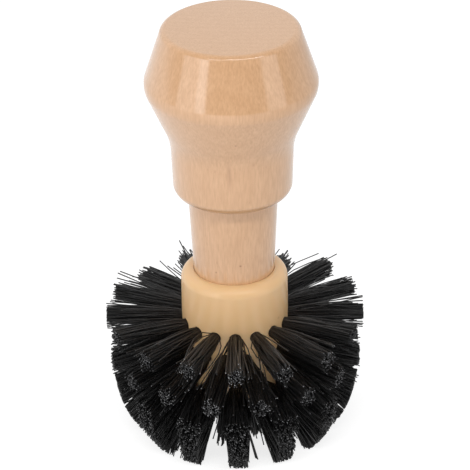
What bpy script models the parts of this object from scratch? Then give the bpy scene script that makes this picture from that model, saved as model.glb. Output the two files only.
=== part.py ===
"""Portafilter brush: a turned maple handle fixed in a moulded hub, which is set with tufts of black nylon.

The brush stands on the floor at z = 0 with its axis on Z. Its front is towards -Y.
Four rings of tufts radiate from the hub. From the top down they are upper, middle, lower and base.
"""

import math

import bmesh
import bpy
from mathutils import Matrix, Vector

MM = 0.001
DEGREE = math.pi / 180

# Fit of the pieces
CLEARANCE = 0.3 * MM
PLUG_CLEARANCE = 0.25 * MM
OVERRUN = 0.5 * MM
WELD = 0.01 * MM
ARC_STEP = 15 * DEGREE

# Hub, from the floor up
HUB_STAND = 12.0 * MM
HUB_HEIGHT = 36.5 * MM
HUB_RADIUS = 14.4 * MM
HUB_SHOULDER_FILLET = 3.0 * MM
HUB_FOOT_FILLET = 6.0 * MM
HUB_SIDES = 48

# Handle, from the hub up
NECK_SEAT = 3.5 * MM
NECK_FOOT_RADIUS = 10.9 * MM
NECK_LENGTH = 22.95 * MM
NECK_TOP_RADIUS = 12.1 * MM
BARREL_RADIUS = 15.9 * MM
BARREL_LENGTH = 16.0 * MM
BARREL_FOOT_FILLET = 3.0 * MM
WAIST_RADIUS = 16.5 * MM
WAIST_FILLET = 15.0 * MM
LOWER_CONE_LENGTH = 15.9 * MM
KNOB_RADIUS = 23.55 * MM
KNOB_FILLET = 5.5 * MM
UPPER_CONE_LENGTH = 16.05 * MM
TOP_RADIUS = 18.3 * MM
TOP_FILLET = 1.8 * MM
TENON_RADIUS = 5.0 * MM
TENON_LENGTH = 11.0 * MM
TENON_FILLET = 1.0 * MM
HANDLE_SIDES = 48

# Tuft holes and the bound roots that fill them
PLUG_RADIUS = 1.45 * MM
HOLE_DEPTH = 4.6 * MM
PLUG_SIDES = 8
HOLE_SIDES = 12

# Strands, each a lock of filaments that opens out towards its end
STRAND_ROOT_RADIUS = 0.36 * MM
STRAND_TIP_RADIUS = 0.85 * MM
STRAND_SIDES = 3
ROOT_SPREAD = 0.95 * MM
TIP_SPREAD = 2.4 * MM

# Upper ring: level tufts
UPPER_COUNT = 16
UPPER_DROP = 14.8 * MM
UPPER_REACH = 35.0 * MM
UPPER_SLOPE = 0 * DEGREE
UPPER_STRANDS = 8

# Middle ring: staggered half a step from the upper one
MIDDLE_COUNT = 16
MIDDLE_DROP = 21.3 * MM
MIDDLE_REACH = 34.0 * MM
MIDDLE_SLOPE = 9.5 * DEGREE
MIDDLE_STRANDS = 8

# Lower ring: tall fans, trimmed on a bulging slant and then flat on the floor. The bound roots stand out
LOWER_COUNT = 14
LOWER_DROP = 27.8 * MM
LOWER_SLOPE = 38 * DEGREE
LOWER_ROOT_STAND = 1.2 * MM
LOWER_REACH = 33.3 * MM
LOWER_TRIM_HEIGHT = 17.0 * MM
LOWER_FLOOR_REACH = 25.3 * MM
LOWER_TRIM_BULGE = 1.6 * MM
FAN_COLUMNS = 3
FAN_ROWS = 4
FAN_HALF_WIDTH = 2.05 * MM
FAN_ROOT_HALF_WIDTH = 0.62 * MM
FAN_ROOT_HALF_HEIGHT = 0.95 * MM
FAN_STRAND_ROOT_RADIUS = 0.28 * MM
FAN_STRAND_TIP_RADIUS = 0.75 * MM

# Base ring: short tufts under the hub. The margin is from the flat underside's edge to the hole's middle
BASE_COUNT = 6
BASE_STAGGER = 0.6
BASE_MARGIN = 2.4 * MM
BASE_SLOPE = 77 * DEGREE
BASE_STRANDS = 7
BASE_TIP_SPREAD = 1.7 * MM
BASE_STRAND_TIP_RADIUS = 0.7 * MM

# Levels that follow from the sizes above
HUB_TOP = HUB_STAND + HUB_HEIGHT
SEAT_LEVEL = HUB_TOP - NECK_SEAT
TENON_END = SEAT_LEVEL - TENON_LENGTH
BARREL_FOOT = HUB_TOP + NECK_LENGTH
WAIST_LEVEL = BARREL_FOOT + BARREL_LENGTH
KNOB_LEVEL = WAIST_LEVEL + LOWER_CONE_LENGTH
TOP_LEVEL = KNOB_LEVEL + UPPER_CONE_LENGTH

# Colours, as linear red, green and blue
MAPLE = (0.68, 0.43, 0.26)
HUB_CREAM = (0.74, 0.52, 0.27)
NYLON_BLACK = (0.012, 0.011, 0.011)


def clear_scene():
    """Empty the scene of whatever it starts with."""
    for old in list(bpy.data.objects):
        bpy.data.objects.remove(old)


def new_collection(name):
    """A collection in the scene."""
    made = bpy.data.collections.new(name)
    bpy.context.scene.collection.children.link(made)
    return made


def new_material(name, colour, roughness):
    """A plain non-metal finish."""
    made = bpy.data.materials.new(name)
    made.use_nodes = True
    shader = made.node_tree.nodes["Principled BSDF"]
    shader.inputs["Base Color"].default_value = (*colour, 1)
    shader.inputs["Roughness"].default_value = roughness
    shader.inputs["Metallic"].default_value = 0
    made.diffuse_color = (*colour, 1)
    return made


def add_object(name, mesh, collection, material=None):
    """An object that shows the mesh."""
    made = bpy.data.objects.new(name, mesh)
    collection.objects.link(made)
    if material and not mesh.materials:
        mesh.materials.append(material)
    return made


def arc(corner, before, after, radius):
    """Points of a fillet of this radius at a corner of an outline."""
    back = (before - corner).normalized()
    ahead = (after - corner).normalized()
    half_angle = back.angle(ahead) / 2
    centre = corner + (back + ahead).normalized() * radius / math.sin(half_angle)
    reach = radius / math.tan(half_angle)
    first = (corner + back * reach - centre).normalized()
    last = (corner + ahead * reach - centre).normalized()
    steps = max(2, round(first.angle(last) / ARC_STEP))
    return [centre + first.slerp(last, step / steps) * radius for step in range(steps + 1)]


def rounded(corners):
    """An outline through corners of (radius, level, fillet), with an arc at each fillet."""
    places = [Vector((radius, 0, level)) for radius, level, fillet in corners]
    outline = [places[0]]
    for number in range(1, len(places) - 1):
        fillet = corners[number][2]
        if fillet:
            outline += arc(places[number], places[number - 1], places[number + 1], fillet)
        else:
            outline.append(places[number])
    return outline + [places[-1]]


def turned(name, outline, sides, collection, material):
    """A solid of revolution from an outline that runs from the axis, down the outside, to the axis."""
    mesh = bpy.data.meshes.new(name)
    mesh.from_pydata(outline, [(point, point + 1) for point in range(len(outline) - 1)], [])
    made = add_object(name, mesh, collection, material)
    screw = made.modifiers.new("turning", "SCREW")
    screw.angle = math.tau
    screw.steps = sides
    screw.render_steps = sides
    screw.use_merge_vertices = True
    screw.merge_threshold = WELD
    screw.use_smooth_shade = True
    return made


def handle_outline():
    """Knob with two cones, barrel, neck and the tenon that the hub hides."""
    return rounded(
        [
            (0, TOP_LEVEL, 0),
            (TOP_RADIUS, TOP_LEVEL, TOP_FILLET),
            (KNOB_RADIUS, KNOB_LEVEL, KNOB_FILLET),
            (WAIST_RADIUS, WAIST_LEVEL, WAIST_FILLET),
            (BARREL_RADIUS, BARREL_FOOT, BARREL_FOOT_FILLET),
            (NECK_TOP_RADIUS, BARREL_FOOT, 0),
            (NECK_FOOT_RADIUS, HUB_TOP, 0),
            (NECK_FOOT_RADIUS, SEAT_LEVEL, 0),
            (TENON_RADIUS, SEAT_LEVEL, 0),
            (TENON_RADIUS, TENON_END, TENON_FILLET),
            (0, TENON_END, 0),
        ]
    )


def hub_outline():
    """Stepped socket for the neck and tenon, rounded collar, straight side and rounded foot."""
    socket_radius = TENON_RADIUS + CLEARANCE
    seat_radius = NECK_FOOT_RADIUS + CLEARANCE
    return rounded(
        [
            (0, TENON_END - CLEARANCE, 0),
            (socket_radius, TENON_END - CLEARANCE, 0),
            (socket_radius, SEAT_LEVEL - CLEARANCE, 0),
            (seat_radius, SEAT_LEVEL - CLEARANCE, 0),
            (seat_radius, HUB_TOP, 0),
            (HUB_RADIUS, HUB_TOP, HUB_SHOULDER_FILLET),
            (HUB_RADIUS, HUB_STAND, HUB_FOOT_FILLET),
            (0, HUB_STAND, 0),
        ]
    )


class Ring:
    """One ring of like tufts. Its pattern tuft lies in the XZ plane and points outwards along +X."""

    def __init__(
        self, name, count, root, slope, stagger=0, radii=(STRAND_ROOT_RADIUS, STRAND_TIP_RADIUS), stand=-CLEARANCE
    ):
        self.name = name
        self.count = count
        self.radii = radii
        self.stand = stand
        self.root = Vector((root[0], 0, root[1]))
        self.out = Vector((math.cos(slope), 0, -math.sin(slope)))
        self.rise = Vector((math.sin(slope), 0, math.cos(slope)))
        self.side = Vector((0, 1, 0))
        self.stagger = stagger

    def turns(self):
        """The angle of each tuft about Z. The first one faces the front, or a share of a step past it."""
        step = math.tau / self.count
        return [step * (number + self.stagger) - math.tau / 4 for number in range(self.count)]

    def at_root(self, across, along):
        """A place on the outer face of the bound root, which lies just inside the hole or stands out of it."""
        return self.root + self.out * self.stand + self.side * across + self.rise * along


def round_shares(count):
    """One strand in the middle and the rest in a circle, as shares of the tuft's spread."""
    circle = [math.tau * number / (count - 1) for number in range(count - 1)]
    return [(0, 0)] + [(math.sin(angle), math.cos(angle)) for angle in circle]


def side_strands(ring, count, reach):
    """Strands of a round tuft, trimmed to the ring's reach from the axis."""
    strands = []
    for across, along in round_shares(count):
        start = ring.at_root(across * ROOT_SPREAD, along * ROOT_SPREAD)
        middle_of_tip = ring.root + ring.side * across * TIP_SPREAD + ring.rise * along * TIP_SPREAD
        corner = abs(across) * TIP_SPREAD + ring.radii[1]
        trim = math.sqrt(reach**2 - corner**2)
        length = (trim - middle_of_tip.x) / ring.out.x
        strands.append((start, middle_of_tip + ring.out * length))
    return strands


def fan_strands(ring):
    """Strands of a fan: its tips lie on a slant that bulges, and the lowest row runs on through the floor."""
    strands = []
    for row in range(FAN_ROWS):
        drop = row / (FAN_ROWS - 1)
        for column in range(FAN_COLUMNS):
            across = 2 * column / (FAN_COLUMNS - 1) - 1
            start = ring.at_root(across * FAN_ROOT_HALF_WIDTH, (1 - 2 * drop) * FAN_ROOT_HALF_HEIGHT)
            reach = LOWER_REACH + (LOWER_FLOOR_REACH - LOWER_REACH) * drop
            reach += LOWER_TRIM_BULGE * math.sin(math.pi * drop)
            end = Vector((reach, across * FAN_HALF_WIDTH, LOWER_TRIM_HEIGHT * (1 - drop)))
            if row == FAN_ROWS - 1:
                end = past_floor(ring, start, end)
            strands.append((start, end))
    return strands


def base_strands(ring, count):
    """Strands of a base tuft, which all run on through the floor."""
    strands = []
    for across, along in round_shares(count):
        start = ring.at_root(across * ROOT_SPREAD, along * ROOT_SPREAD)
        toward = ring.root + ring.out * (ring.root.z / -ring.out.z)
        toward += (ring.side * across + ring.rise * along) * BASE_TIP_SPREAD
        strands.append((start, past_floor(ring, start, toward)))
    return strands


def past_floor(ring, start, toward):
    """The end of a strand on the line from start that reaches far enough below the floor to be cut flat."""
    way = toward - start
    below_floor = OVERRUN + ring.radii[1]
    return start + way * (start.z + below_floor) / -way.z


def strand_mesh(ring, strands):
    """All strands of one tuft as thin tapered prisms, cut flat at the floor."""
    shape = bmesh.new()
    for start, end in strands:
        way = (end - start).normalized()
        inner_end = start - way * OVERRUN
        placed = Matrix.Translation((inner_end + end) / 2) @ way.to_track_quat("Z", "Y").to_matrix().to_4x4()
        bmesh.ops.create_cone(
            shape,
            cap_ends=True,
            segments=STRAND_SIDES,
            radius1=ring.radii[0],
            radius2=ring.radii[1],
            depth=(end - inner_end).length,
            matrix=placed,
        )
    bmesh.ops.bisect_plane(
        shape,
        geom=shape.verts[:] + shape.edges[:] + shape.faces[:],
        plane_co=(0, 0, 0),
        plane_no=(0, 0, 1),
        clear_inner=True,
    )
    bmesh.ops.holes_fill(shape, edges=[edge for edge in shape.edges if edge.is_boundary])
    bmesh.ops.recalc_face_normals(shape, faces=shape.faces)
    mesh = bpy.data.meshes.new(ring.name + "_strands")
    shape.to_mesh(mesh)
    shape.free()
    return mesh


def round_bar(shape, ring, radius, inner, outer, sides):
    """A round bar along the tuft's line, from one distance inside the root point to one outside it."""
    middle = ring.root + ring.out * (outer - inner) / 2
    placed = Matrix.Translation(middle) @ ring.out.to_track_quat("Z", "Y").to_matrix().to_4x4()
    return bmesh.ops.create_cone(
        shape,
        cap_ends=True,
        segments=sides,
        radius1=radius,
        radius2=radius,
        depth=inner + outer,
        matrix=placed,
    )["verts"]


def tuft_mesh(ring, strands, material, guides):
    """One tuft: the bound root that fills its hole, with every strand joined to it."""
    shape = bmesh.new()
    round_bar(shape, ring, PLUG_RADIUS, HOLE_DEPTH - CLEARANCE, ring.stand, PLUG_SIDES)
    mesh = bpy.data.meshes.new(ring.name + "_root")
    shape.to_mesh(mesh)
    shape.free()
    root = add_object(ring.name + "_pattern", mesh, guides, material)
    lock = add_object(ring.name + "_strands", strand_mesh(ring, strands), guides, material)
    union = root.modifiers.new("strands", "BOOLEAN")
    union.operation = "UNION"
    union.object = lock
    finished = root.evaluated_get(bpy.context.evaluated_depsgraph_get())
    tuft = bpy.data.meshes.new_from_object(finished)
    tuft.name = ring.name
    bpy.data.objects.remove(root)
    bpy.data.objects.remove(lock)
    return tuft


def set_tufts(ring, strands, material, parts, guides):
    """Every tuft of a ring, each a copy of the pattern turned to its own place."""
    mesh = tuft_mesh(ring, strands, material, guides)
    for number, turn in enumerate(ring.turns(), start=1):
        tuft = add_object(f"{ring.name}_{number:02d}", mesh, parts, material)
        tuft.rotation_euler.z = turn


def hole_cutter(rings, guides):
    """All the tuft holes as one cutter."""
    shape = bmesh.new()
    for ring in rings:
        for turn in ring.turns():
            bar = round_bar(shape, ring, PLUG_RADIUS + PLUG_CLEARANCE, HOLE_DEPTH, HUB_FOOT_FILLET, HOLE_SIDES)
            bmesh.ops.rotate(shape, verts=bar, matrix=Matrix.Rotation(turn, 3, "Z"))
    mesh = bpy.data.meshes.new("tuft_holes")
    shape.to_mesh(mesh)
    shape.free()
    cutter = add_object("tuft_holes", mesh, guides)
    cutter.hide_render = True
    cutter.display_type = "WIRE"
    return cutter


def make_rings():
    """The four rings, with their roots on the hub's surface."""
    upper_root = (HUB_RADIUS, HUB_TOP - UPPER_DROP)
    middle_root = (HUB_RADIUS, HUB_TOP - MIDDLE_DROP)
    lower_root = (HUB_RADIUS, HUB_TOP - LOWER_DROP)
    upper = Ring("tuft_upper", UPPER_COUNT, upper_root, UPPER_SLOPE)
    middle = Ring("tuft_middle", MIDDLE_COUNT, middle_root, MIDDLE_SLOPE, stagger=0.5)
    fan_radii = (FAN_STRAND_ROOT_RADIUS, FAN_STRAND_TIP_RADIUS)
    lower = Ring(
        "tuft_lower", LOWER_COUNT, lower_root, LOWER_SLOPE, radii=fan_radii, stand=LOWER_ROOT_STAND
    )
    base_root = (HUB_RADIUS - HUB_FOOT_FILLET - BASE_MARGIN, HUB_STAND)
    base_radii = (STRAND_ROOT_RADIUS, BASE_STRAND_TIP_RADIUS)
    base = Ring("tuft_base", BASE_COUNT, base_root, BASE_SLOPE, stagger=BASE_STAGGER, radii=base_radii)
    return upper, middle, lower, base


clear_scene()
parts = new_collection("portafilter_brush")
guides = new_collection("cutters")
guides.hide_render = True

maple = new_material("lacquered_maple", MAPLE, 0.3)
cream = new_material("cream_plastic", HUB_CREAM, 0.28)
nylon = new_material("black_nylon", NYLON_BLACK, 0.4)

turned("handle", handle_outline(), HANDLE_SIDES, parts, maple)

upper, middle, lower, base = make_rings()
hub = turned("hub", hub_outline(), HUB_SIDES, parts, cream)
holes = hub.modifiers.new("tuft holes", "BOOLEAN")
holes.operation = "DIFFERENCE"
holes.object = hole_cutter((upper, middle, lower, base), guides)

set_tufts(upper, side_strands(upper, UPPER_STRANDS, UPPER_REACH), nylon, parts, guides)
set_tufts(middle, side_strands(middle, MIDDLE_STRANDS, MIDDLE_REACH), nylon, parts, guides)
set_tufts(lower, fan_strands(lower), nylon, parts, guides)
set_tufts(base, base_strands(base, BASE_STRANDS), nylon, parts, guides)
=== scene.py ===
"""Looks of the portafilter brush: turned maple handle, moulded hub and black nylon tufts."""

import math
import random

import bmesh
import bpy
from mathutils import Matrix, Vector


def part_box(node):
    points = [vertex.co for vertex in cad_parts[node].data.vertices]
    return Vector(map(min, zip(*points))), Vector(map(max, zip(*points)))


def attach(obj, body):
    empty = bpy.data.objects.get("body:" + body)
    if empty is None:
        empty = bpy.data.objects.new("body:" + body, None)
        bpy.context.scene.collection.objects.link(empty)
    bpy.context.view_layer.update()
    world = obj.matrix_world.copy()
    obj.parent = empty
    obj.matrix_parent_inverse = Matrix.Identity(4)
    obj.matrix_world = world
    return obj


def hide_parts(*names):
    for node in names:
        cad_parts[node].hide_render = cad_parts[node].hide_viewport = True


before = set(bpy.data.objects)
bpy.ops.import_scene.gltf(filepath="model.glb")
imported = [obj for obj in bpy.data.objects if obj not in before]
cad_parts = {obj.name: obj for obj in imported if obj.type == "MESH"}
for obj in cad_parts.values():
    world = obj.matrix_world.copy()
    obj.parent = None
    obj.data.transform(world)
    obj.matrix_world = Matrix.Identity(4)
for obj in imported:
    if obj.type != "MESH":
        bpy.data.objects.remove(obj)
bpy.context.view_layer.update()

# Camera
# It looks at the brush from the front and above, through a long lens.
# Pitch, turn and lens were solved from the tips of the tufts and the turned edges of the handle.
MM = 0.001
PICTURE_WIDTH = 470
CAMERA_BACK = 896.2 * MM
CAMERA_HEIGHT = 535.8 * MM
CAMERA_PITCH = math.radians(28.07)
CAMERA_TURN = math.radians(-0.93)
LENS_IN_PIXELS = 3777
PICTURE_SLIDE_IN_PIXELS = 1.29

bpy.ops.object.camera_add(location=(0, -CAMERA_BACK, CAMERA_HEIGHT))
camera = bpy.context.object
camera.name = "camera"
camera.data.lens = camera.data.sensor_width * LENS_IN_PIXELS / PICTURE_WIDTH
camera.data.shift_x = PICTURE_SLIDE_IN_PIXELS / PICTURE_WIDTH
tilt = Matrix.Rotation(math.pi / 2 - CAMERA_PITCH, 4, "X") @ Matrix.Rotation(CAMERA_TURN, 4, "Z")
camera.matrix_world = Matrix.Translation(camera.location) @ tilt
bpy.context.scene.camera = camera
bpy.context.scene.view_settings.view_transform = "Standard"

# Studio
# White surroundings and floor. On the left is a softbox with a brighter edge, and on the right a plain one.
# A long strip hangs in front, and in it a fill lamp that reflections don't show.
SOFTBOX_DISTANCE = 1.1
SOFTBOX_AIM = Vector((0, 0, 0.07))
LEFT_LIGHT = 0.81
RIGHT_LIGHT = 0.41
REFLECTED_FRONT_LIGHT = 0.12
REFLECTED_FRONT_END = -0.2
REFLECTED_BACK_START = 0.6
FLOOR_SIZE = 6.0
FLOOR_BOUNCE = (0.8, 0.8, 0.8, 1)
FLOOR_SHADOW_DEPTH = (0.36, 0.36, 0.36, 1)
FLOOR_SHADOW_FLOOR = 0.79
FLOOR_DIM_FROM = -0.1
FLOOR_DIM_TO = 0.28
FLOOR_DIM = 0.15


def add_node(tree, kind, **values):
    """A node with its inputs set by name, where an underscore stands for a space."""
    node = tree.nodes.new(kind)
    for name, value in values.items():
        node.inputs[name.replace("_", " ")].default_value = value
    return node


def add_softbox(name, turn, rise, width, height, brightness, in_reflections=True):
    """A rectangular lamp, turned from the front to the right and raised above the floor, both in degrees."""
    turn = math.radians(turn)
    rise = math.radians(rise)
    way = Vector((math.sin(turn) * math.cos(rise), -math.cos(turn) * math.cos(rise), math.sin(rise)))
    bpy.ops.object.light_add(type="AREA", location=SOFTBOX_AIM + way * SOFTBOX_DISTANCE)
    lamp = bpy.context.object
    lamp.name = name
    lamp.rotation_euler = way.to_track_quat("Z", "Y").to_euler()
    lamp.data.shape = "RECTANGLE"
    lamp.data.size = width
    lamp.data.size_y = height
    lamp.data.energy = brightness * math.pi * width * height
    lamp.visible_glossy = in_reflections


def seen_by_eye(tree):
    """Whether a reflection looks at this, and whether the camera or a clear material does, each as 1 or 0."""
    path = add_node(tree, "ShaderNodeLightPath")
    either = add_node(tree, "ShaderNodeMath")
    either.operation = "MAXIMUM"
    tree.links.new(path.outputs["Is Camera Ray"], either.inputs[0])
    tree.links.new(path.outputs["Is Transmission Ray"], either.inputs[1])
    return path.outputs["Is Glossy Ray"], either.outputs[0]


def light_surroundings():
    """The world: white to the eye, dim in front in reflections, and stronger on the left as a lamp."""
    world = bpy.data.worlds.new("studio")
    world.use_nodes = True
    bpy.context.scene.world = world
    tree = world.node_tree
    tree.nodes.clear()
    out = add_node(tree, "ShaderNodeOutputWorld")
    lamp = add_node(tree, "ShaderNodeBackground", Color=(1, 1, 1, 1))
    backdrop = add_node(tree, "ShaderNodeBackground", Color=(1, 1, 1, 1), Strength=1)
    reflected = add_node(tree, "ShaderNodeBackground", Color=(1, 1, 1, 1))
    place = add_node(tree, "ShaderNodeTexCoord")
    axes = add_node(tree, "ShaderNodeSeparateXYZ")
    across = add_node(tree, "ShaderNodeMapRange", From_Min=-1, To_Min=LEFT_LIGHT, To_Max=RIGHT_LIGHT)
    depth = add_node(
        tree,
        "ShaderNodeMapRange",
        From_Min=REFLECTED_FRONT_END,
        From_Max=REFLECTED_BACK_START,
        To_Min=REFLECTED_FRONT_LIGHT,
    )
    tree.links.new(place.outputs["Generated"], axes.inputs[0])
    tree.links.new(axes.outputs["X"], across.inputs["Value"])
    tree.links.new(across.outputs["Result"], lamp.inputs["Strength"])
    tree.links.new(axes.outputs["Y"], depth.inputs["Value"])
    tree.links.new(depth.outputs["Result"], reflected.inputs["Strength"])
    glossy, eye = seen_by_eye(tree)
    first = add_node(tree, "ShaderNodeMixShader")
    second = add_node(tree, "ShaderNodeMixShader")
    tree.links.new(glossy, first.inputs["Fac"])
    tree.links.new(lamp.outputs[0], first.inputs[1])
    tree.links.new(reflected.outputs[0], first.inputs[2])
    tree.links.new(eye, second.inputs["Fac"])
    tree.links.new(first.outputs[0], second.inputs[1])
    tree.links.new(backdrop.outputs[0], second.inputs[2])
    tree.links.new(second.outputs[0], out.inputs["Surface"])


def floor_material():
    """White with a faint shadow to the eye, dimmer on the right in reflections, and plain to the light."""
    material = bpy.data.materials.new("studio_floor")
    material.use_nodes = True
    tree = material.node_tree
    tree.nodes.clear()
    out = add_node(tree, "ShaderNodeOutputMaterial")
    bounce = add_node(tree, "ShaderNodeBsdfDiffuse", Color=FLOOR_BOUNCE)
    shaded = add_node(tree, "ShaderNodeBsdfDiffuse", Color=FLOOR_SHADOW_DEPTH)
    glow = add_node(tree, "ShaderNodeEmission", Strength=FLOOR_SHADOW_FLOOR)
    shown = add_node(tree, "ShaderNodeAddShader")
    tree.links.new(shaded.outputs[0], shown.inputs[0])
    tree.links.new(glow.outputs[0], shown.inputs[1])
    glossy, eye = seen_by_eye(tree)
    place = add_node(tree, "ShaderNodeTexCoord")
    axes = add_node(tree, "ShaderNodeSeparateXYZ")
    rightwards = add_node(
        tree, "ShaderNodeMapRange", From_Min=FLOOR_DIM_FROM, From_Max=FLOOR_DIM_TO, To_Min=1, To_Max=FLOOR_DIM
    )
    dimmed = add_node(tree, "ShaderNodeMath")
    dimmed.operation = "MULTIPLY"
    either = add_node(tree, "ShaderNodeMath")
    either.operation = "MAXIMUM"
    tree.links.new(place.outputs["Object"], axes.inputs[0])
    tree.links.new(axes.outputs["X"], rightwards.inputs["Value"])
    tree.links.new(glossy, dimmed.inputs[0])
    tree.links.new(rightwards.outputs["Result"], dimmed.inputs[1])
    tree.links.new(dimmed.outputs[0], either.inputs[0])
    tree.links.new(eye, either.inputs[1])
    mix = add_node(tree, "ShaderNodeMixShader")
    tree.links.new(either.outputs[0], mix.inputs["Fac"])
    tree.links.new(bounce.outputs[0], mix.inputs[1])
    tree.links.new(shown.outputs[0], mix.inputs[2])
    tree.links.new(mix.outputs[0], out.inputs["Surface"])
    return material


light_surroundings()
add_softbox("left_softbox", turn=-62, rise=14, width=0.5, height=0.62, brightness=1.2)
add_softbox("left_softbox_edge", turn=-41, rise=14, width=0.27, height=0.6, brightness=2.3)
add_softbox("right_softbox", turn=60, rise=14, width=0.53, height=0.6, brightness=1.15)
add_softbox("front_strip", turn=10, rise=54.5, width=1.6, height=0.05, brightness=13)
add_softbox("front_fill", turn=0, rise=54.5, width=0.5, height=0.05, brightness=30, in_reflections=False)
bpy.ops.mesh.primitive_plane_add(size=FLOOR_SIZE)
floor = bpy.context.object
floor.name = "floor"
floor.data.materials.append(floor_material())

# Hub
# One moulding of pale nylon, slightly waxy, with a rounded collar, a straight side and a rounded foot.
# It has a stepped socket for the neck and tenon of the handle, and a drilled blind hole for each tuft.
hub_low, hub_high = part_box("hub")
HUB_STAND = hub_low.z
HUB_TOP = hub_high.z
HUB_RADIUS = 14.4 * MM
HUB_FOOT_FILLET = 6.0 * MM
HUB_SHOULDER_FILLET = 3.0 * MM
SEAT_RADIUS = 10.93 * MM
SEAT_DEPTH = 3.8 * MM
SEAT_RIM = 0.2 * MM
TENON_HOLE_RADIUS = 5.3 * MM
TENON_HOLE_DEPTH = 14.8 * MM
TURNED_SIDES = 144
FILLET_STEP = math.radians(6)
TURNED_SMOOTH_ANGLE = math.radians(35)
WELD = 0.002 * MM
HOLE_RADIUS = 1.7 * MM
HOLE_DEPTH = 4.6 * MM
HOLE_OVERRUN = 5.0 * MM
HOLE_SIDES = 28
TUFT_RINGS = {
    "upper": {"count": 16, "radius": HUB_RADIUS, "level": HUB_TOP - 14.8 * MM, "slope": 0, "stagger": 0},
    "middle": {"count": 16, "radius": HUB_RADIUS, "level": HUB_TOP - 21.3 * MM, "slope": 9.5, "stagger": 0.5},
    "lower": {"count": 14, "radius": HUB_RADIUS, "level": HUB_TOP - 27.8 * MM, "slope": 38, "stagger": 0},
    "base": {"count": 6, "radius": 6.0 * MM, "level": HUB_STAND, "slope": 77, "stagger": 0.6},
}


def turned_piece(name, rings):
    """A piece turned on a lathe: a disc, extruded and widened from ring to ring, with its rounds bevelled.

    Each ring is its radius, level and fillet, from the foot up the outside and, in a socket, down again.
    """
    bpy.ops.object.select_all(action="DESELECT")
    radius, level = rings[0][:2]
    bpy.ops.mesh.primitive_circle_add(
        vertices=TURNED_SIDES, radius=radius, fill_type="NGON", location=(0, 0, level)
    )
    piece = bpy.context.object
    piece.name = piece.data.name = name
    bpy.ops.object.transform_apply(location=True, rotation=False, scale=False)
    bpy.ops.object.mode_set(mode="EDIT")
    bpy.ops.mesh.select_all(action="SELECT")
    for (radius, level, _), (last_radius, last_level, _) in zip(rings[1:], rings):
        bpy.ops.mesh.extrude_region_move(TRANSFORM_OT_translate={"value": (0, 0, level - last_level)})
        widening = radius / last_radius
        bpy.ops.transform.resize(value=(widening, widening, 1), center_override=(0, 0, level))
    bpy.ops.mesh.select_mode(type="EDGE")
    ends = [(0, rings[0][1], 0)] + rings + [(0, rings[-1][1], 0)]
    for before, ring, after in zip(ends, ends[1:], ends[2:]):
        if ring[2]:
            round_ring(piece, before, ring, after)
    bpy.ops.mesh.select_all(action="SELECT")
    bpy.ops.mesh.normals_make_consistent(inside=False)
    bpy.ops.object.mode_set(mode="OBJECT")
    return piece


def round_ring(piece, before, ring, after):
    """Bevels one ring of edges into its fillet."""
    radius, level, fillet = ring
    back = Vector((before[0] - radius, before[1] - level))
    ahead = Vector((after[0] - radius, after[1] - level))
    half_angle = back.angle(ahead) / 2
    segments = max(2, round((math.pi - 2 * half_angle) / FILLET_STEP))
    bpy.ops.mesh.select_all(action="DESELECT")
    mesh = bmesh.from_edit_mesh(piece.data)
    for edge in mesh.edges:
        edge.select = all(
            abs(corner.co.z - level) < WELD and abs(corner.co.xy.length - radius) < WELD
            for corner in edge.verts
        )
    bmesh.update_edit_mesh(piece.data)
    bpy.ops.mesh.bevel(
        offset=fillet / math.tan(half_angle),
        segments=segments,
        profile=0.5,
        affect="EDGES",
        clamp_overlap=False,
    )


def tuft_turns(ring):
    """Each tuft's angle about the axis. The first is as many steps past the front as the ring's stagger."""
    step = math.tau / ring["count"]
    return [step * (number + ring["stagger"]) - math.tau / 4 for number in range(ring["count"])]


def tuft_axes(ring, turn):
    """Where a tuft leaves the hub, and its own directions: outwards, to its side and upwards."""
    slope = math.radians(ring["slope"])
    around = Matrix.Rotation(turn, 3, "Z")
    root = around @ Vector((ring["radius"], 0, ring["level"]))
    out = around @ Vector((math.cos(slope), 0, -math.sin(slope)))
    side = around @ Vector((0, 1, 0))
    rise = around @ Vector((math.sin(slope), 0, math.cos(slope)))
    return root, out, side, rise


def drill_tuft_holes(piece):
    """Cuts every tuft hole into the hub."""
    bpy.ops.object.select_all(action="DESELECT")
    drills = []
    for ring in TUFT_RINGS.values():
        for turn in tuft_turns(ring):
            root, out = tuft_axes(ring, turn)[:2]
            bpy.ops.mesh.primitive_cylinder_add(
                vertices=HOLE_SIDES,
                radius=HOLE_RADIUS,
                depth=HOLE_DEPTH + HOLE_OVERRUN,
                location=root + out * (HOLE_OVERRUN - HOLE_DEPTH) / 2,
                rotation=out.to_track_quat("Z", "Y").to_euler(),
            )
            drills.append(bpy.context.object)
    for drill in drills:
        drill.select_set(True)
    bpy.ops.object.join()
    drill = bpy.context.object
    cut = piece.modifiers.new("tuft holes", "BOOLEAN")
    cut.operation = "DIFFERENCE"
    cut.object = drill
    bpy.ops.object.select_all(action="DESELECT")
    bpy.context.view_layer.objects.active = piece
    piece.select_set(True)
    bpy.ops.object.modifier_apply(modifier=cut.name)
    bpy.data.objects.remove(drill)


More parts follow.
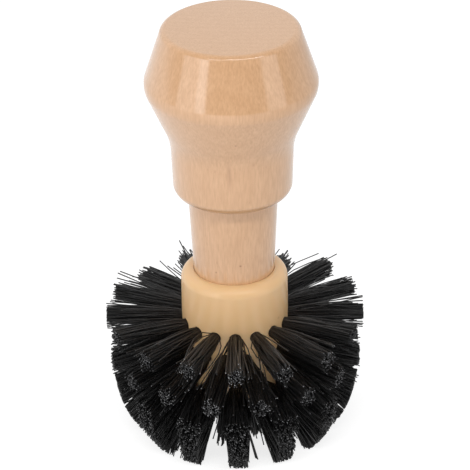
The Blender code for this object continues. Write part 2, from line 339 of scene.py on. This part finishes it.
def waxy_nylon():
    """Pale moulded nylon: soft gloss, a little light inside it, faint clouding and a few dark specks."""
    material = bpy.data.materials.new("cream_plastic")
    material.use_nodes = True
    tree = material.node_tree
    shader = tree.nodes["Principled BSDF"]
    shader.inputs["Subsurface Weight"].default_value = 0.12
    shader.inputs["Subsurface Radius"].default_value = (0.004, 0.002, 0.001)
    shader.inputs["Subsurface Scale"].default_value = 1
    shader.inputs["IOR"].default_value = 1.6
    place = add_node(tree, "ShaderNodeTexCoord")
    clouds = add_node(tree, "ShaderNodeTexNoise", Scale=70, Detail=3)
    tone = add_node(tree, "ShaderNodeValToRGB")
    tone.color_ramp.elements[0].position = 0.3
    tone.color_ramp.elements[0].color = (0.727, 0.468, 0.233, 1)
    tone.color_ramp.elements[1].position = 0.7
    tone.color_ramp.elements[1].color = (0.767, 0.496, 0.257, 1)
    specks = add_node(tree, "ShaderNodeTexVoronoi", Scale=110)
    speck_shape = add_node(tree, "ShaderNodeMapRange", From_Min=0.03, From_Max=0.06, To_Min=0.3, To_Max=0)
    colour = add_node(tree, "ShaderNodeMixRGB", Color2=(0.33, 0.19, 0.08, 1))
    grain = add_node(tree, "ShaderNodeTexNoise", Scale=900, Detail=2)
    gloss = add_node(tree, "ShaderNodeMapRange", To_Min=0.28, To_Max=0.32)
    bump = add_node(tree, "ShaderNodeBump", Strength=0.05, Distance=0.0002)
    for source in (clouds, specks, grain):
        tree.links.new(place.outputs["Object"], source.inputs["Vector"])
    tree.links.new(clouds.outputs["Fac"], tone.inputs["Fac"])
    tree.links.new(specks.outputs["Distance"], speck_shape.inputs["Value"])
    tree.links.new(speck_shape.outputs["Result"], colour.inputs["Fac"])
    tree.links.new(tone.outputs["Color"], colour.inputs["Color1"])
    tree.links.new(colour.outputs["Color"], shader.inputs["Base Color"])
    tree.links.new(clouds.outputs["Fac"], gloss.inputs["Value"])
    tree.links.new(gloss.outputs["Result"], shader.inputs["Roughness"])
    tree.links.new(grain.outputs["Fac"], bump.inputs["Height"])
    tree.links.new(bump.outputs["Normal"], shader.inputs["Normal"])
    return material


hub = turned_piece(
    "moulded_hub",
    [
        (HUB_RADIUS, HUB_STAND, HUB_FOOT_FILLET),
        (HUB_RADIUS, HUB_TOP, HUB_SHOULDER_FILLET),
        (SEAT_RADIUS, HUB_TOP, SEAT_RIM),
        (SEAT_RADIUS, HUB_TOP - SEAT_DEPTH, 0),
        (TENON_HOLE_RADIUS, HUB_TOP - SEAT_DEPTH, 0),
        (TENON_HOLE_RADIUS, HUB_TOP - TENON_HOLE_DEPTH, 0),
    ],
)
drill_tuft_holes(hub)
bpy.ops.object.shade_smooth_by_angle(angle=TURNED_SMOOTH_ANGLE)
hub.data.materials.clear()
hub.data.materials.append(waxy_nylon())
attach(hub, "root")
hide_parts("hub")

# Upper tufts
# Each is a bundle of stiff black nylon filaments, folded over a flat wire and driven into its hole.
# The bundle opens out from the hole, and the whole ring is trimmed to a cylinder on a lathe.
FILAMENT_RADIUS = 0.16 * MM
FILAMENT_SIDES = 6
FILAMENT_SMOOTH_ANGLE = math.radians(70)
STEEPEST_CUT = 0.3
BURIED_SHARE = 0.12
FILAMENT_CUT_SHARES = (BURIED_SHARE, 0.28, 0.5, 0.75)
BUNDLE_RADIUS = 1.5 * MM
BURIED_LENGTH = 2.5 * MM
GOLDEN_ANGLE = math.pi * (3 - math.sqrt(5))
LONGEST_FILAMENT = 60 * MM
BISECTIONS = 26
SIDE_FILAMENTS = 112
SIDE_TIP_SPREAD = 2.35 * MM
TIP_GATHER = 0.4
TIP_WANDERS = ((0.66, 0.26 * MM), (0.88, 1 * MM), (1, 2.4 * MM))
SIDE_CUT_WANDERS = ((0.86, 0.22 * MM), (1, 1.7 * MM))
BOW_WANDERS = ((0.85, 0.18 * MM), (1, 0.7 * MM))
BOW_SKEW = 0.7
LEAN_WANDER = 0.4
SEED = 16
SIDE_SHAPE = {"stand": 0, "swell": 0.45 * MM, "cut": SIDE_CUT_WANDERS, "painted_shade": 1}
UPPER_REACH = 35.0 * MM
UPPER_LEANS = {
    1: (0, 0),
    2: (-0.3, -0.3),
    3: (0, -1.2),
    4: (-1.4, 0.5),
    5: (0.3, -0.2),
    6: (-0.3, 0.6),
    7: (-2, 1.7),
    11: (0.8, -0.7),
    12: (1, 0.4),
    13: (-0.6, 0),
    14: (0.4, 0.7),
    15: (0.5, 0.2),
    16: (0.3, 0.8),
}
UPPER_STRAYS = {
    1: [(-11.6, -5.2), (-10, -4.4), (-8.6, -5.4), (-7, -3.2), (5.4, 0.3), (6.8, -1.6)],
    2: [(-5.5, -2.5), (-6.6, -4.2)],
    5: [(-0.9, 3.9)],
    7: [(-5.9, 7.1)],
    8: [(-13.3, 4.6)],
    11: [(-5.4, 1.4)],
    12: [(-1.9, 5.5), (-2.4, 3.1)],
}


def make_filament():
    """One filament of unit length, six-sided, with the cross cuts that let it bend."""
    bpy.ops.object.select_all(action="DESELECT")
    bpy.ops.mesh.primitive_cylinder_add(
        vertices=FILAMENT_SIDES, radius=FILAMENT_RADIUS, depth=1, location=(0, 0, 0.5), end_fill_type="NGON"
    )
    made = bpy.context.object
    made.name = "filament"
    bpy.ops.object.transform_apply(location=True, rotation=False, scale=False)
    bpy.ops.object.mode_set(mode="EDIT")
    for share in FILAMENT_CUT_SHARES:
        bpy.ops.mesh.select_all(action="SELECT")
        bpy.ops.mesh.bisect(plane_co=(0, 0, share), plane_no=(0, 0, 1))
    bpy.ops.object.mode_set(mode="OBJECT")
    corners = [Vector((corner.co.x, corner.co.y, round(corner.co.z, 6))) for corner in made.data.vertices]
    faces = [list(face.vertices) for face in made.data.polygons]
    end_faces = [len(face) > 4 and all(corners[number].z > 0.5 for number in face) for face in faces]
    bpy.data.objects.remove(made)
    return corners, faces, end_faces


def trimmed_end(start, way, reach_at):
    """How far a filament goes before the floor or the trimmed side, whose reach depends on the height."""
    short, long = 0, LONGEST_FILAMENT
    for _ in range(BISECTIONS):
        middle = (short + long) / 2
        point = start + way * middle
        if point.z > 0 and point.xy.length < reach_at(point.z):
            short = middle
        else:
            long = middle
    return short


def bundle_places(count):
    """Evenly filled places in a round bundle, as shares of its radius."""
    for number in range(count):
        spread = math.sqrt((number + 0.5) / count)
        yield spread * math.cos(number * GOLDEN_ANGLE), spread * math.sin(number * GOLDEN_ANGLE)


def bowed_line(start, mouth, end, bow, share):
    """A point of a filament: straight out of the hole, then along a shallow bow, deepest near the hub."""
    if share < BURIED_SHARE:
        return start.lerp(mouth, share / BURIED_SHARE)
    free_share = (share - BURIED_SHARE) / (1 - BURIED_SHARE)
    return mouth.lerp(end, free_share) + bow * math.sin(math.pi * free_share**BOW_SKEW)


def wander(wanders, dice):
    """A random distance aside: short for most filaments and long for the few that stray."""
    luck = dice.random()
    for share, distance in wanders:
        if luck <= share:
            return dice.gauss(0, distance)


def trim_normal(point, reach_at):
    """The way that the cut faces look at this point: down on the floor, or square to the trimmed surface."""
    if point.z < FILAMENT_RADIUS:
        return Vector((0, 0, -1))
    step = FILAMENT_RADIUS
    slope = (reach_at(point.z + step) - reach_at(point.z - step)) / (2 * step)
    around = point.xy.normalized()
    return Vector((around.x, around.y, -slope)).normalized()


def set_tuft(name, node, axes, ends, shape, reach_at, dice):
    """One tuft: a copy of the filament laid along the line of each of its places.

    Its shape says how far it stands out of the hub before it opens, how much it swells there, how far short
    its filaments may be cut, and its painted shade: the more of it, the fewer filaments are pale and glint.
    """
    root, out, side, rise = axes
    corners, faces, end_faces = FILAMENT
    points, polygons, materials, shares, shades = [], [], [], [], []
    for across, along, target in ends:
        offset = (side * across + rise * along) * BUNDLE_RADIUS
        start = root + offset - out * BURIED_LENGTH
        mouth = root + offset + out * shape["stand"]
        way = (target - mouth).normalized()
        length = trimmed_end(mouth, way, reach_at) - abs(wander(shape["cut"], dice))
        end = mouth + way * length
        bow = (side * across + rise * along) * shape["swell"]
        bow += side * wander(BOW_WANDERS, dice) + rise * wander(BOW_WANDERS, dice)
        across_way = side.cross(way).normalized()
        spin = dice.uniform(0, math.tau)
        cut = trim_normal(end, reach_at)
        first = len(points)
        # Painted shade: a larger power darkens the filament and its cut end, and lowers its glint.
        shade = dice.random() ** shape["painted_shade"]
        for corner in corners:
            ring_place = Matrix.Rotation(spin, 2) @ corner.xy
            centre = bowed_line(start, mouth, end, bow, corner.z)
            point = centre + side * ring_place.x + across_way * ring_place.y
            if corner.z == 1:
                point -= way * (point - end).dot(cut) / max(STEEPEST_CUT, way.dot(cut))
            point.z = max(point.z, 0)
            points.append(point)
            shares.append(corner.z)
            shades.append(shade)
        polygons += [[first + corner for corner in face] for face in faces]
        materials += [int(end_face) for end_face in end_faces]
    mesh = bpy.data.meshes.new(name)
    mesh.from_pydata(points, [], polygons)
    for attribute, values in (("along", shares), ("shade", shades)):
        mesh.attributes.new(attribute, "FLOAT", "POINT").data.foreach_set("value", values)
    mesh.materials.append(NYLON)
    mesh.materials.append(CUT_ENDS)
    mesh.polygons.foreach_set("material_index", materials)
    tuft = bpy.data.objects.new(name, mesh)
    bpy.context.scene.collection.objects.link(tuft)
    bpy.ops.object.select_all(action="DESELECT")
    tuft.select_set(True)
    bpy.context.view_layer.objects.active = tuft
    bpy.ops.object.mode_set(mode="EDIT")
    bpy.ops.mesh.select_all(action="SELECT")
    bpy.ops.mesh.normals_make_consistent(inside=False)
    bpy.ops.object.mode_set(mode="OBJECT")
    bpy.ops.object.shade_smooth_by_angle(angle=FILAMENT_SMOOTH_ANGLE)
    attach(tuft, "root")
    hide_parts(node)


def leans_of(number, leans, dice):
    """How far a tuft leans to its side and upwards at its tip: a little, at random, where it isn't listed."""
    aside, up = leans.get(number, (dice.gauss(0, LEAN_WANDER), dice.gauss(0, LEAN_WANDER)))
    return aside * MM, up * MM


def round_tuft_ends(axes, count, spread, far, lean, dice):
    """Where a round tuft's filaments head for: a disc that is denser in the middle, with strays round it."""
    root, out, side, rise = axes
    for across, along in bundle_places(count):
        opened = spread * math.hypot(across, along) ** TIP_GATHER
        aside = across * opened + wander(TIP_WANDERS, dice) + lean[0]
        up = along * opened + wander(TIP_WANDERS, dice) + lean[1]
        yield across, along, root + out * far + side * aside + rise * up


def stray_ends(axes, far, strays):
    """Where a round tuft's listed strays head for, in millimetres to its side and upwards."""
    root, out, side, rise = axes
    for aside, up in strays:
        yield 0, 1, root + out * far + side * aside * MM + rise * up * MM


def black_nylon():
    """Black filament with a satin sheen, no two quite alike, and a painted warm reflection of the hub near
    the root.
    """
    material = bpy.data.materials.new("black_nylon")
    material.use_nodes = True
    tree = material.node_tree
    shader = tree.nodes["Principled BSDF"]
    shader.inputs["IOR"].default_value = 1.53
    along = add_node(tree, "ShaderNodeAttribute")
    along.attribute_name = "along"
    shade = add_node(tree, "ShaderNodeAttribute")
    shade.attribute_name = "shade"
    tone = add_node(tree, "ShaderNodeValToRGB")
    tone.color_ramp.elements[0].color = (0.002, 0.002, 0.002, 1)
    tone.color_ramp.elements[1].color = (0.009, 0.0088, 0.009, 1)
    glint = add_node(tree, "ShaderNodeMapRange", From_Min=0.65, To_Min=0.5, To_Max=1)
    # Painted reflection: a warm brown near the root stands in for the hub reflected in the filaments.
    painted_hub_reflection = add_node(tree, "ShaderNodeMapRange", From_Min=0.15, From_Max=0.75, To_Min=0.11, To_Max=0)
    colour = add_node(tree, "ShaderNodeMixRGB", Color2=(0.032, 0.016, 0.009, 1))
    place = add_node(tree, "ShaderNodeTexCoord")
    scuffs = add_node(tree, "ShaderNodeTexNoise", Scale=1500, Detail=2)
    gloss = add_node(tree, "ShaderNodeMapRange", To_Min=0.3, To_Max=0.55)
    bump = add_node(tree, "ShaderNodeBump", Strength=0.15, Distance=0.00005)
    tree.links.new(place.outputs["Object"], scuffs.inputs["Vector"])
    tree.links.new(shade.outputs["Fac"], tone.inputs["Fac"])
    tree.links.new(shade.outputs["Fac"], glint.inputs["Value"])
    tree.links.new(glint.outputs["Result"], shader.inputs["Specular IOR Level"])
    tree.links.new(along.outputs["Fac"], painted_hub_reflection.inputs["Value"])
    tree.links.new(painted_hub_reflection.outputs["Result"], colour.inputs["Fac"])
    tree.links.new(tone.outputs["Color"], colour.inputs["Color1"])
    tree.links.new(colour.outputs["Color"], shader.inputs["Base Color"])
    tree.links.new(scuffs.outputs["Fac"], gloss.inputs["Value"])
    tree.links.new(gloss.outputs["Result"], shader.inputs["Roughness"])
    tree.links.new(scuffs.outputs["Fac"], bump.inputs["Height"])
    tree.links.new(bump.outputs["Normal"], shader.inputs["Normal"])
    return material


def cut_ends():
    """The cut end of a filament: matt, crushed and lighter than its side."""
    material = bpy.data.materials.new("black_nylon_cut")
    material.use_nodes = True
    tree = material.node_tree
    shader = tree.nodes["Principled BSDF"]
    shader.inputs["Roughness"].default_value = 0.55
    shade = add_node(tree, "ShaderNodeAttribute")
    shade.attribute_name = "shade"
    tone = add_node(tree, "ShaderNodeValToRGB")
    tone.color_ramp.elements[0].color = (0.01, 0.01, 0.011, 1)
    tone.color_ramp.elements[1].color = (0.26, 0.26, 0.27, 1)
    middle = tone.color_ramp.elements.new(0.65)
    middle.color = (0.036, 0.036, 0.038, 1)
    place = add_node(tree, "ShaderNodeTexCoord")
    crush = add_node(tree, "ShaderNodeTexNoise", Scale=4000, Detail=2)
    bump = add_node(tree, "ShaderNodeBump", Strength=0.4, Distance=0.00005)
    tree.links.new(place.outputs["Object"], crush.inputs["Vector"])
    tree.links.new(shade.outputs["Fac"], tone.inputs["Fac"])
    tree.links.new(tone.outputs["Color"], shader.inputs["Base Color"])
    tree.links.new(crush.outputs["Fac"], bump.inputs["Height"])
    tree.links.new(bump.outputs["Normal"], shader.inputs["Normal"])
    return material


FILAMENT = make_filament()
NYLON = black_nylon()
CUT_ENDS = cut_ends()
dice = random.Random(SEED)
for number, turn in enumerate(tuft_turns(TUFT_RINGS["upper"]), start=1):
    axes = tuft_axes(TUFT_RINGS["upper"], turn)
    far = UPPER_REACH - TUFT_RINGS["upper"]["radius"]
    lean = leans_of(number, UPPER_LEANS, dice)
    ends = list(round_tuft_ends(axes, SIDE_FILAMENTS, SIDE_TIP_SPREAD, far, lean, dice))
    ends += stray_ends(axes, far, UPPER_STRAYS.get(number, []))
    name, node = f"upper_bristles_{number:02d}", f"tuft_upper_{number:02d}"
    set_tuft(name, node, axes, ends, SIDE_SHAPE, lambda height: UPPER_REACH, dice)

# Middle tufts
# The same bundles, set half a step round from the upper ones and sloping down a little.
# They are trimmed to a cylinder too, a little shorter.
MIDDLE_REACH = 34.25 * MM
MIDDLE_SHAPE = {"stand": 0, "swell": 0.9 * MM, "cut": SIDE_CUT_WANDERS, "painted_shade": 1}
MIDDLE_LEANS = {
    1: (0.4, -0.65),
    2: (0.3, -0.35),
    3: (-0.7, 0.6),
    14: (0.5, -0.15),
    15: (0.1, 0.2),
    16: (0, -0.3),
}

for number, turn in enumerate(tuft_turns(TUFT_RINGS["middle"]), start=1):
    axes = tuft_axes(TUFT_RINGS["middle"], turn)
    far = MIDDLE_REACH - TUFT_RINGS["middle"]["radius"]
    lean = leans_of(number, MIDDLE_LEANS, dice)
    ends = list(round_tuft_ends(axes, SIDE_FILAMENTS, SIDE_TIP_SPREAD, far, lean, dice))
    name, node = f"middle_bristles_{number:02d}", f"tuft_middle_{number:02d}"
    set_tuft(name, node, axes, ends, MIDDLE_SHAPE, lambda height: MIDDLE_REACH, dice)

# Lower tufts
# Fuller bundles that stand out of the hub and open into tall fans, from nearly level down to the floor.
# They are trimmed on a slant that bulges, from the floor outwards and up, and flat where the brush stands.
FAN_FILAMENTS = 380
FAN_CUT_WANDERS = ((0.95, 0.1 * MM), (1, 0.8 * MM))
# The fans carry painted shade: most of their filaments are darker, and fewer of them glint.
FAN_SHAPE = {"stand": 1.2 * MM, "swell": 1.7 * MM, "cut": FAN_CUT_WANDERS, "painted_shade": 1.9}
FAN_FOOT_HALF_WIDTH = 2.6 * MM
FAN_HEAD_HALF_WIDTH = 3.6 * MM
FAN_WAIST_HEIGHT = 9 * MM
FAN_HEAD_HEIGHT = 15 * MM
FAN_REACH = 33.3 * MM
FAN_HEIGHT = 17.0 * MM
FAN_TIP_HEIGHT = 18.6 * MM
FAN_FLOOR_REACH = 25.6 * MM
FAN_FLOOR_DEPTH = 6 * MM
FAN_BULGE = 1.6 * MM
FAN_REACH_RISE = 0.18
FAN_WANDERS = ((0.85, 0.12 * MM), (0.98, 0.6 * MM), (1, 1.5 * MM))
LOWER_LEANS = {
    1: (0.4, 0.3),
    2: (-0.8, 1.8),
    3: (-0.8, 2.2),
    13: (1.2, 0.4),
    14: (1.4, -1.5),
}
LOWER_STRAYS = {1: [(5, 20.4), (5.3, 20.8), (5.6, 21.3)]}


def fan_reach(height):
    """The reach of the trimmed fans at this height: a bulging slant, and above it a nearly upright side."""
    drop = max(0, 1 - height / FAN_HEIGHT)
    slant = FAN_REACH + (FAN_FLOOR_REACH - FAN_REACH) * drop + FAN_BULGE * math.sin(math.pi * drop)
    return slant + max(0, height - FAN_HEIGHT) * FAN_REACH_RISE


def fan_half_width(height):
    """Half the width of a fan at this height of its trimmed side: narrow near the floor, wide at its head."""
    share = (height - FAN_WAIST_HEIGHT) / (FAN_HEAD_HEIGHT - FAN_WAIST_HEIGHT)
    return FAN_FOOT_HALF_WIDTH + (FAN_HEAD_HALF_WIDTH - FAN_FOOT_HALF_WIDTH) * min(1, max(0, share))


def fan_ends(turn, leans, dice):
    """Where a fan's filaments head for: the higher ones to the top of the slant, the lower ones to its foot.

    The fan leans to its side by the first amount near its top and by the second at the floor.
    """
    places = sorted(bundle_places(FAN_FILAMENTS), key=lambda place: -place[1])
    around = Matrix.Rotation(turn, 3, "Z")
    for order, (across, along) in enumerate(places):
        share = (order + 0.5) / len(places)
        height = FAN_TIP_HEIGHT - (FAN_TIP_HEIGHT + FAN_FLOOR_DEPTH) * share + wander(TIP_WANDERS, dice)
        lean = leans[1] + (leans[0] - leans[1]) * max(0, height) / FAN_HEAD_HEIGHT
        aside = dice.uniform(-1, 1) * fan_half_width(height) + wander(FAN_WANDERS, dice) + lean
        yield across, along, around @ Vector((fan_reach(max(0, height)), aside, height))


def floor_strays(turn, strays):
    """Where a fan's listed strays meet the floor, in millimetres to its side and out from the axis."""
    around = Matrix.Rotation(turn, 3, "Z")
    for aside, reach in strays:
        yield 0, -1, around @ Vector((reach * MM, aside * MM, 0))


for number, turn in enumerate(tuft_turns(TUFT_RINGS["lower"]), start=1):
    axes = tuft_axes(TUFT_RINGS["lower"], turn)
    ends = list(fan_ends(turn, leans_of(number, LOWER_LEANS, dice), dice))
    ends += floor_strays(turn, LOWER_STRAYS.get(number, []))
    name, node = f"lower_bristles_{number:02d}", f"tuft_lower_{number:02d}"
    set_tuft(name, node, axes, ends, FAN_SHAPE, fan_reach, dice)

# Base tufts
# Short bundles of the same filament, set in the underside of the hub, nearly upright.
# They are trimmed flat, where the brush stands on the floor.
BASE_FILAMENTS = 110
BASE_SPREAD = 2.9 * MM
BASE_REACH = 22 * MM
BASE_SHAPE = {"stand": 0, "swell": 0.45 * MM, "cut": FAN_CUT_WANDERS, "painted_shade": 1}
BASE_LEANS = {1: (1.3, 0), 6: (1.3, 0)}

for number, turn in enumerate(tuft_turns(TUFT_RINGS["base"]), start=1):
    axes = tuft_axes(TUFT_RINGS["base"], turn)
    far = TUFT_RINGS["base"]["level"] / -axes[1].z
    lean = leans_of(number, BASE_LEANS, dice)
    ends = list(round_tuft_ends(axes, BASE_FILAMENTS, BASE_SPREAD, far, lean, dice))
    name, node = f"base_bristles_{number:02d}", f"tuft_base_{number:02d}"
    set_tuft(name, node, axes, ends, BASE_SHAPE, lambda height: BASE_REACH, dice)

# Handle
# One piece of pale maple, turned between centres: a knob of two cones, a barrel, a neck and a hidden tenon.
# It is sanded fine and finished in clear gloss lacquer. The grain runs up the handle.
handle_low, handle_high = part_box("handle")
TENON_END = handle_low.z
HANDLE_TOP = handle_high.z
TENON_RADIUS = 5.0 * MM
TENON_FILLET = 1.0 * MM
NECK_FOOT_RADIUS = 10.9 * MM
NECK_FOOT = HUB_TOP - 3.5 * MM
NECK_TOP_RADIUS = 12.1 * MM
BARREL_FOOT = HUB_TOP + 22.95 * MM
BARREL_RADIUS = 15.9 * MM
BARREL_FOOT_FILLET = 3.0 * MM
WAIST = BARREL_FOOT + 16.0 * MM
WAIST_RADIUS = 16.5 * MM
WAIST_FILLET = 15.0 * MM
KNOB = WAIST + 15.9 * MM
KNOB_RADIUS = 23.55 * MM
KNOB_FILLET = 5.5 * MM
TOP_RADIUS = 18.3 * MM
TOP_FILLET = 1.8 * MM
PITH = (14 * MM, 190 * MM)
LOG_TILT = (math.radians(1.6), math.radians(-0.8))
RING_SPACING = 2.3 * MM
WAVE_PERIOD = math.tau / 20
MARKS = [
    ((-0.9 * MM, -16.4 * MM, 84 * MM), (0.9 * MM, 1.6 * MM, 6 * MM), 0.36),
    ((0.86 * MM, -19.6 * MM, 94.5 * MM), (0.35 * MM, 0.8 * MM, 0.35 * MM), 0.8),
    ((1.66 * MM, -11.1 * MM, 54.3 * MM), (0.42 * MM, 0.8 * MM, 0.42 * MM), 1),
    ((-4.86 * MM, -10 * MM, 51.9 * MM), (0.35 * MM, 0.8 * MM, 0.35 * MM), 0.8),
]


def add_mark(tree, place, centre, reach, depth):
    """A soft mark of this reach round a point of the wood, as a share of its darkness."""
    shrink = [1 / length for length in reach]
    slide = [-at / length for at, length in zip(centre, reach)]
    near = add_node(tree, "ShaderNodeMapping", Scale=shrink, Location=slide)
    fade = add_node(tree, "ShaderNodeTexGradient")
    fade.gradient_type = "SPHERICAL"
    share = add_node(tree, "ShaderNodeMath")
    share.operation = "MULTIPLY"
    share.inputs[1].default_value = depth
    tree.links.new(place.outputs["Object"], near.inputs["Vector"])
    tree.links.new(near.outputs["Vector"], fade.inputs["Vector"])
    tree.links.new(fade.outputs["Fac"], share.inputs[0])
    return share.outputs[0]


def add_streaks(tree, place, wood, colour, stretch, detail, start, full, depth):
    """The wood so far with darker streaks on it, and their noise, which is drawn out along the grain."""
    stretched = add_node(tree, "ShaderNodeMapping", Scale=stretch)
    noise = add_node(tree, "ShaderNodeTexNoise", Scale=1, Detail=detail)
    share = add_node(tree, "ShaderNodeMapRange", From_Min=start, From_Max=full, To_Min=0, To_Max=depth)
    streaked = add_node(tree, "ShaderNodeMixRGB", Color2=colour)
    tree.links.new(place.outputs["Object"], stretched.inputs["Vector"])
    tree.links.new(stretched.outputs["Vector"], noise.inputs["Vector"])
    tree.links.new(noise.outputs["Fac"], share.inputs["Value"])
    tree.links.new(share.outputs["Result"], streaked.inputs["Fac"])
    tree.links.new(wood, streaked.inputs["Color1"])
    return streaked.outputs["Color"], noise.outputs["Fac"]


def lacquered_maple():
    """Maple with faint growth rings, fine fibres, a broad figure, flecks and marks, under a clear gloss."""
    material = bpy.data.materials.new("lacquered_maple")
    material.use_nodes = True
    tree = material.node_tree
    shader = tree.nodes["Principled BSDF"]
    shader.inputs["Roughness"].default_value = 0.5
    shader.inputs["Coat Weight"].default_value = 1
    shader.inputs["Coat Roughness"].default_value = 0.14
    shader.inputs["Coat IOR"].default_value = 1.78
    shader.inputs["Specular IOR Level"].default_value = 0.2
    place = add_node(tree, "ShaderNodeTexCoord")
    log = add_node(tree, "ShaderNodeMapping")
    log.inputs["Location"].default_value = (-PITH[0], -PITH[1], 0)
    log.inputs["Rotation"].default_value = (*LOG_TILT, 0)
    rings = add_node(tree, "ShaderNodeTexWave", Scale=WAVE_PERIOD / RING_SPACING, Distortion=2.2, Detail=3)
    rings.inputs["Detail Scale"].default_value = 0.35
    rings.wave_type = "RINGS"
    rings.rings_direction = "Z"
    ring_tone = add_node(tree, "ShaderNodeValToRGB")
    ring_tone.color_ramp.elements[0].position = 0.35
    ring_tone.color_ramp.elements[0].color = (0.687, 0.407, 0.225, 1)
    ring_tone.color_ramp.elements[1].color = (0.666, 0.39, 0.211, 1)
    fibred, fibres = add_streaks(
        tree,
        place,
        ring_tone.outputs["Color"],
        colour=(0.541, 0.302, 0.145, 1),
        stretch=(2300, 2300, 300),
        detail=5,
        start=0.35,
        full=0.75,
        depth=0.8,
    )
    figured, _ = add_streaks(
        tree,
        place,
        fibred,
        colour=(0.56, 0.31, 0.15, 1),
        stretch=(650, 650, 170),
        detail=3,
        start=0.45,
        full=0.75,
        depth=0.3,
    )
    flecked, _ = add_streaks(
        tree,
        place,
        figured,
        colour=(0.48, 0.24, 0.11, 1),
        stretch=(1300, 1300, 500),
        detail=1,
        start=0.7,
        full=0.8,
        depth=0.35,
    )
    marked = add_node(tree, "ShaderNodeMixRGB", Color2=(0.3, 0.12, 0.04, 1))
    darkest = add_mark(tree, place, *MARKS[0])
    for mark in MARKS[1:]:
        either = add_node(tree, "ShaderNodeMath")
        either.operation = "MAXIMUM"
        tree.links.new(darkest, either.inputs[0])
        tree.links.new(add_mark(tree, place, *mark), either.inputs[1])
        darkest = either.outputs[0]
    bump = add_node(tree, "ShaderNodeBump", Strength=0.08, Distance=0.0001)
    tree.links.new(place.outputs["Object"], log.inputs["Vector"])
    tree.links.new(log.outputs["Vector"], rings.inputs["Vector"])
    tree.links.new(rings.outputs["Fac"], ring_tone.inputs["Fac"])
    tree.links.new(darkest, marked.inputs["Fac"])
    tree.links.new(flecked, marked.inputs["Color1"])
    tree.links.new(marked.outputs["Color"], shader.inputs["Base Color"])
    tree.links.new(fibres, bump.inputs["Height"])
    tree.links.new(bump.outputs["Normal"], shader.inputs["Normal"])
    return material


handle = turned_piece(
    "turned_handle",
    [
        (TENON_RADIUS, TENON_END, TENON_FILLET),
        (TENON_RADIUS, NECK_FOOT, 0),
        (NECK_FOOT_RADIUS, NECK_FOOT, 0),
        (NECK_FOOT_RADIUS, HUB_TOP, 0),
        (NECK_TOP_RADIUS, BARREL_FOOT, 0),
        (BARREL_RADIUS, BARREL_FOOT, BARREL_FOOT_FILLET),
        (WAIST_RADIUS, WAIST, WAIST_FILLET),
        (KNOB_RADIUS, KNOB, KNOB_FILLET),
        (TOP_RADIUS, HANDLE_TOP, TOP_FILLET),
    ],
)
bpy.ops.object.shade_smooth_by_angle(angle=TURNED_SMOOTH_ANGLE)
handle.data.materials.clear()
handle.data.materials.append(lacquered_maple())
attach(handle, "root")
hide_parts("handle")
